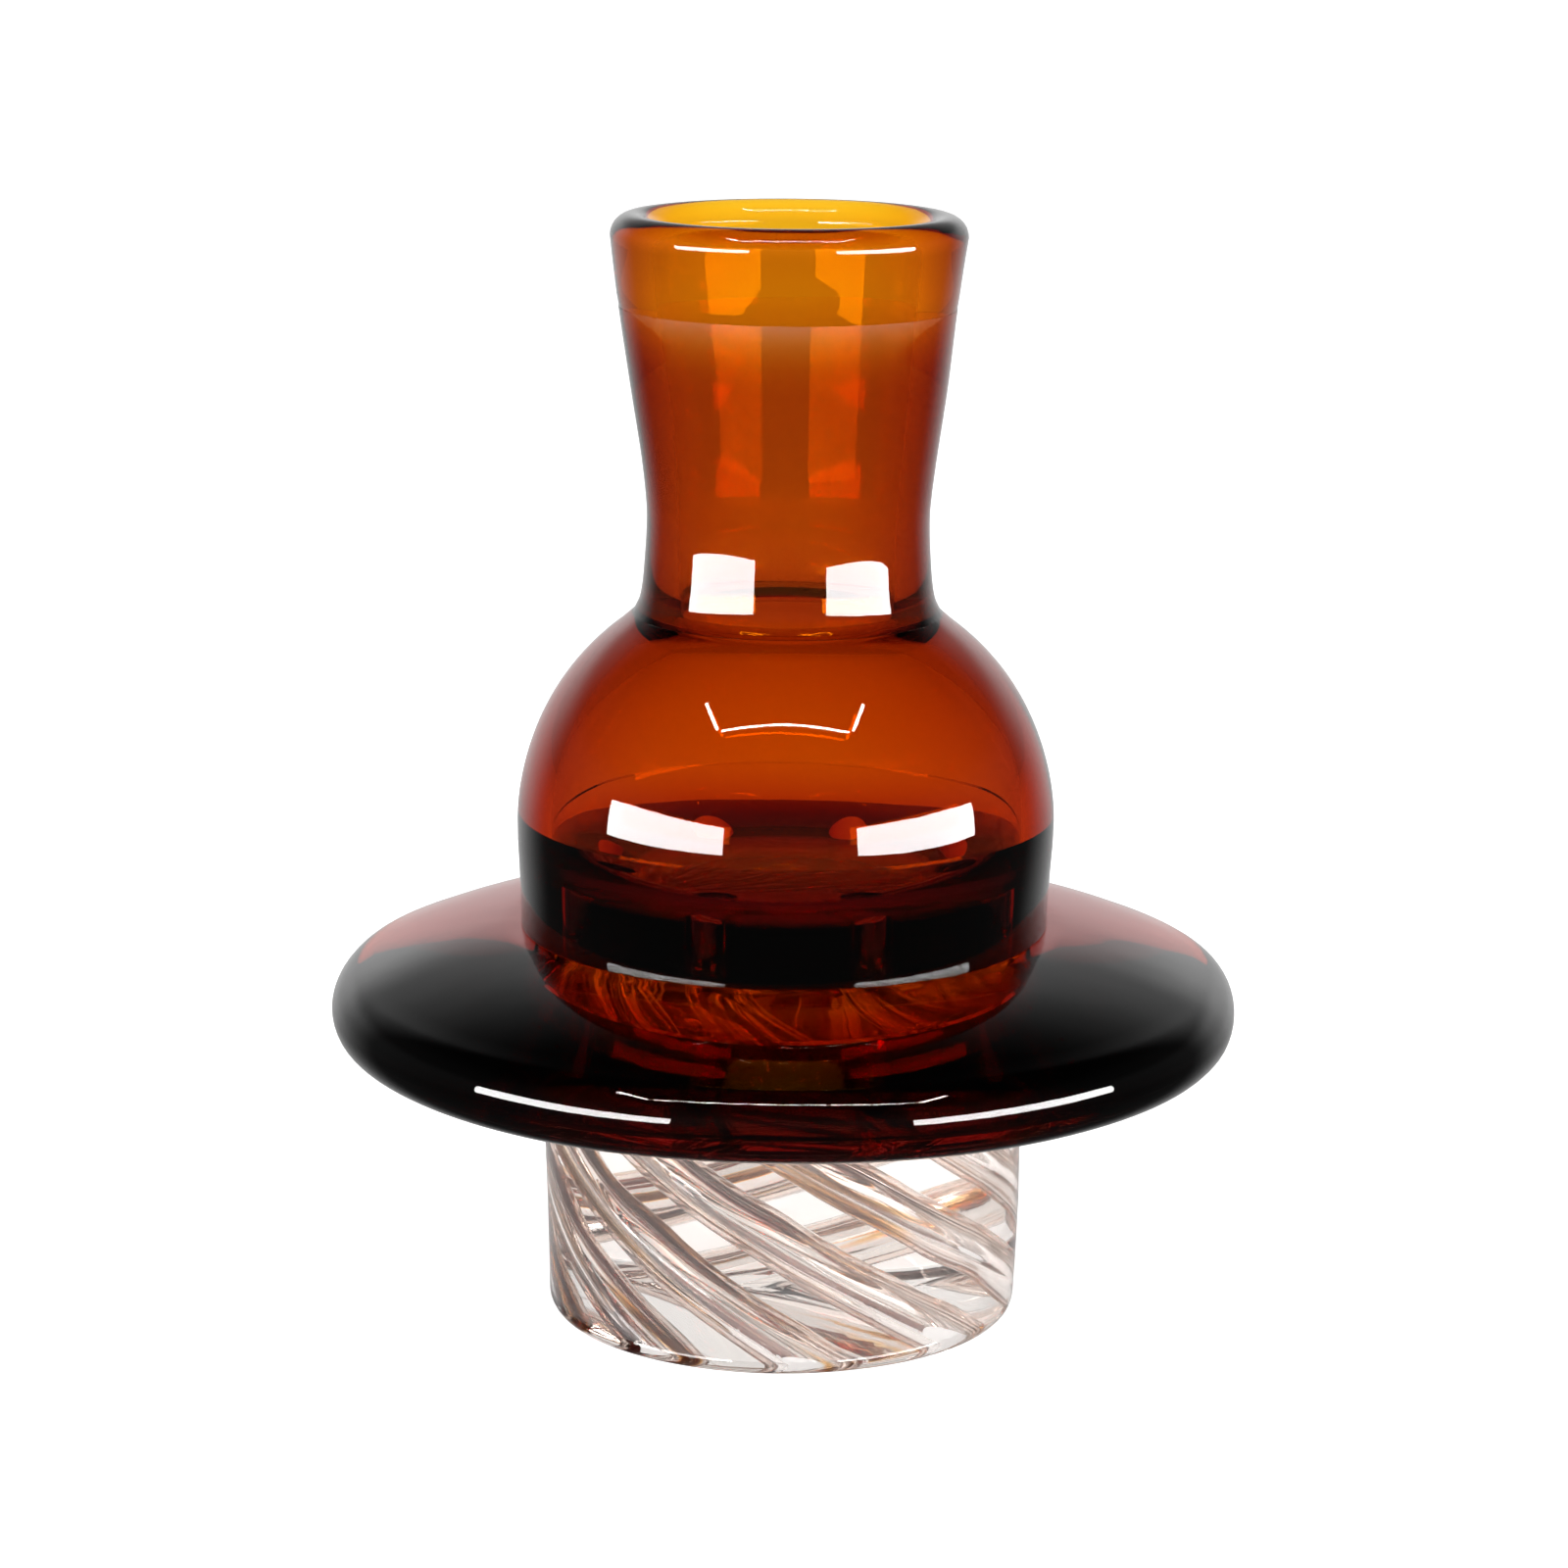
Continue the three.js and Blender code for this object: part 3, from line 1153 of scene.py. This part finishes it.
def studio_world():
    """White behind the cap and dim in front, and darker again for what shines off the glass."""
    world = bpy.data.worlds.new("studio")
    bpy.context.scene.world = world
    world.use_nodes = True
    nodes, links = world.node_tree.nodes, world.node_tree.links
    nodes.clear()
    output = nodes.new("ShaderNodeOutputWorld")
    background = nodes.new("ShaderNodeBackground")
    background.inputs["Color"].default_value = (1, 1, 1, 1)
    links.new(background.outputs["Background"], output.inputs["Surface"])
    direction = nodes.new("ShaderNodeTexCoord")
    split = nodes.new("ShaderNodeSeparateXYZ")
    links.new(direction.outputs["Generated"], split.inputs["Vector"])
    path = nodes.new("ShaderNodeLightPath")

    def ramp(axis, low, high, from_value, to_value):
        """From one brightness to another along an axis of the direction."""
        span = nodes.new("ShaderNodeMapRange")
        span.interpolation_type = "SMOOTHSTEP"
        span.inputs["From Min"].default_value = low
        span.inputs["From Max"].default_value = high
        span.inputs["To Min"].default_value = from_value
        span.inputs["To Max"].default_value = to_value
        links.new(split.outputs[axis], span.inputs["Value"])
        return span.outputs["Result"]

    raised = nodes.new("ShaderNodeMapRange")
    raised.inputs["From Min"].default_value = -1
    links.new(split.outputs["Z"], raised.inputs["Value"])

    def by_height(stops):
        """Brightness by the upward part of the direction, from -1 to 1."""
        ramp_node = nodes.new("ShaderNodeValToRGB")
        elements = ramp_node.color_ramp.elements
        ramp_node.color_ramp.interpolation = "EASE"
        for end, (_, brightness) in ((elements[0], stops[0]), (elements[1], stops[-1])):
            end.color = (brightness, brightness, brightness, 1)
        for height, brightness in stops:
            elements.new((height + 1) / 2).color = (brightness, brightness, brightness, 1)
        links.new(raised.outputs["Result"], ramp_node.inputs["Fac"])
        return ramp_node.outputs["Color"]

    def choose(ray, otherwise, chosen):
        """Uses one brightness for a kind of ray and another for the rest."""
        mix = nodes.new("ShaderNodeMix")
        links.new(ray, mix.inputs["Factor"])
        links.new(otherwise, mix.inputs["A"])
        if isinstance(chosen, float):
            mix.inputs["B"].default_value = chosen
        else:
            links.new(chosen, mix.inputs["B"])
        return mix.outputs["Result"]

    def maths(operation, *values):
        """The result of one sum on numbers or sockets."""
        node = nodes.new("ShaderNodeMath")
        node.operation = operation
        for value, socket in zip(values, node.inputs):
            if isinstance(value, (int, float)):
                socket.default_value = value
            else:
                links.new(value, socket)
        return node.outputs["Value"]

    def along(axis):
        """How far the direction points along an axis."""
        dot = nodes.new("ShaderNodeVectorMath")
        dot.operation = "DOT_PRODUCT"
        dot.inputs[1].default_value = axis
        links.new(direction.outputs["Generated"], dot.inputs[0])
        return dot.outputs["Value"]

    def box_glow(azimuth, width):
        """The brightness of a soft box where the direction meets it, and 0 elsewhere."""
        away = towards(azimuth, BOX_ELEVATION)
        turned = away.to_track_quat("Z", "Y")
        near = along(away)
        sideways = maths("DIVIDE", along(turned @ Vector((1, 0, 0))), near)
        upwards = maths("DIVIDE", along(turned @ Vector((0, 1, 0))), near)
        inside_width = maths("COMPARE", sideways, 0, width / 2 / BOX_DISTANCE)
        inside_height = maths("COMPARE", upwards, 0, BOX_HEIGHT / 2 / BOX_DISTANCE)
        facing = maths("GREATER_THAN", near, 0)
        lit = maths("MULTIPLY", maths("MULTIPLY", inside_width, inside_height), facing)
        return maths("MULTIPLY", lit, BOX_RADIANCE)

    reflected = maths("GREATER_THAN", path.outputs["Glossy Depth"], 0.5)
    inner = maths("MULTIPLY", reflected, path.outputs["Is Transmission Ray"])

    seen_through = ramp(*THROUGH_GLASS)
    shone_off = maths("MULTIPLY", ramp(*OFF_GLASS), by_height(OFF_GLASS_BY_HEIGHT))
    light = choose(path.outputs["Is Reflection Ray"], seen_through, shone_off)
    # The soft boxes also shine off the inside of the glass, and reach the eye through it.
    for _, azimuth, width in SOFT_BOXES:
        light = maths("ADD", light, maths("MULTIPLY", inner, box_glow(azimuth, width)))
    light = choose(path.outputs["Is Camera Ray"], light, BACKDROP_SEEN)
    links.new(light, background.inputs["Strength"])


def studio_floor():
    """A wide pale floor that glows a little, as one lit from all round does, and glows less near the cap
    as painted shade round its foot.
    """
    bpy.ops.mesh.primitive_plane_add(size=FLOOR_SIZE, location=(0, 0, -FLOOR_DROP))
    floor = bpy.context.active_object
    floor.name = "studio_floor"
    floor.visible_glossy = False
    material = bpy.data.materials.new("pale_floor")
    material.use_nodes = True
    surface = material.node_tree.nodes["Principled BSDF"]
    surface.inputs["Base Color"].default_value = FLOOR_TONE
    surface.inputs["Roughness"].default_value = 1
    surface.inputs["Specular IOR Level"].default_value = 0
    surface.inputs["Emission Color"].default_value = (1, 1, 1, 1)
    nodes, links = material.node_tree.nodes, material.node_tree.links
    place = nodes.new("ShaderNodeTexCoord")
    away = nodes.new("ShaderNodeVectorMath")
    away.operation = "LENGTH"
    links.new(place.outputs["Object"], away.inputs[0])
    # The glow is dimmer close to the cap: painted shade under and round it.
    glow = nodes.new("ShaderNodeMapRange")
    glow.interpolation_type = "SMOOTHSTEP"
    glow.inputs["From Min"].default_value = 0.01
    glow.inputs["From Max"].default_value = 0.12
    glow.inputs["To Min"].default_value = 0.9
    glow.inputs["To Max"].default_value = 1.1
    links.new(away.outputs["Value"], glow.inputs["Value"])
    links.new(glow.outputs["Result"], surface.inputs["Emission Strength"])
    floor.data.materials.append(material)
    return floor


class CAP_OT_stage(bpy.types.Operator):
    """Build the floor, the lights, the world and the camera"""

    bl_idname = "cap.stage"
    bl_label = "Build Stage"

    def execute(self, context):
        bpy.ops.object.select_all(action="DESELECT")
        lights = [
            *(soft_box(*box) for box in SOFT_BOXES),
            *(strip_light(*strip) for strip in STRIPS),
        ]
        studio_floor()
        studio_world()

        bpy.ops.object.camera_add(location=CAMERA_PLACE)
        camera = bpy.context.active_object
        camera.name = "studio_camera"
        tilt = Matrix.Rotation(math.pi / 2 - CAMERA_DOWN, 4, "X")
        roll = Matrix.Rotation(CAMERA_ROLL, 4, "Z")
        camera.rotation_euler = (tilt @ roll).to_euler()
        camera.data.lens = CAMERA_LENS
        camera.data.sensor_width = 36
        camera.data.shift_x = CAMERA_SHIFT
        camera.data.clip_start = 0.001
        camera.data.clip_end = 50
        camera.data.dof.use_dof = False
        context.scene.camera = camera

        context.scene.view_settings.view_transform = "Standard"
        context.scene.view_settings.look = "None"
        context.scene.cycles.max_bounces = 32
        context.scene.cycles.transmission_bounces = 32
        context.scene.cycles.glossy_bounces = 12
        context.scene.cycles.transparent_max_bounces = 24
        context.scene.cycles.sample_clamp_indirect = 10
        return {"FINISHED"}


class CAP_PT_sidebar(bpy.types.Panel):
    """Buttons for each group of pieces and the sizes they use"""

    bl_label = "Airflow Cap"
    bl_idname = "CAP_PT_sidebar"
    bl_space_type = "VIEW_3D"
    bl_region_type = "UI"
    bl_category = "Airflow Cap"

    def draw(self, context):
        layout = self.layout
        for group in SETTINGS:
            box = layout.box()
            settings = getattr(context.scene, group)
            for name in settings.__annotations__:
                box.prop(settings, name)
        for operator in OPERATORS:
            layout.operator(operator.bl_idname)


SETTINGS = {
    "cap_glass": GlassSizes,
    "cap_tip": TipSizes,
    "cap_brim": BrimSizes,
    "cap_bulb": BulbSizes,
    "cap_neck": NeckSizes,
    "cap_colours": GlassColours,
}
OPERATORS = (
    CAP_OT_stage,
    CAP_OT_neck,
    CAP_OT_neck_casing,
    CAP_OT_bulb,
    CAP_OT_brim,
    CAP_OT_tip_sleeve,
    CAP_OT_tip_core,
    CAP_OT_air_tubes,
)


def register():
    """Registers the classes and puts their settings on the scene."""
    for kind in (*SETTINGS.values(), *OPERATORS, CAP_PT_sidebar):
        bpy.utils.register_class(kind)
    for name, kind in SETTINGS.items():
        setattr(bpy.types.Scene, name, PointerProperty(type=kind))


def unregister():
    """Removes what register added."""
    for name in SETTINGS:
        delattr(bpy.types.Scene, name)
    for kind in (CAP_PT_sidebar, *reversed(OPERATORS), *reversed(SETTINGS.values())):
        bpy.utils.unregister_class(kind)


def main():
    register()
    bpy.ops.cap.stage()
    bpy.ops.cap.neck()
    bpy.ops.cap.neck_casing()
    bpy.ops.cap.bulb()
    bpy.ops.cap.brim()
    bpy.ops.cap.tip_sleeve()
    bpy.ops.cap.tip_core()
    bpy.ops.cap.air_tubes()


if __name__ == "__main__":
    main()
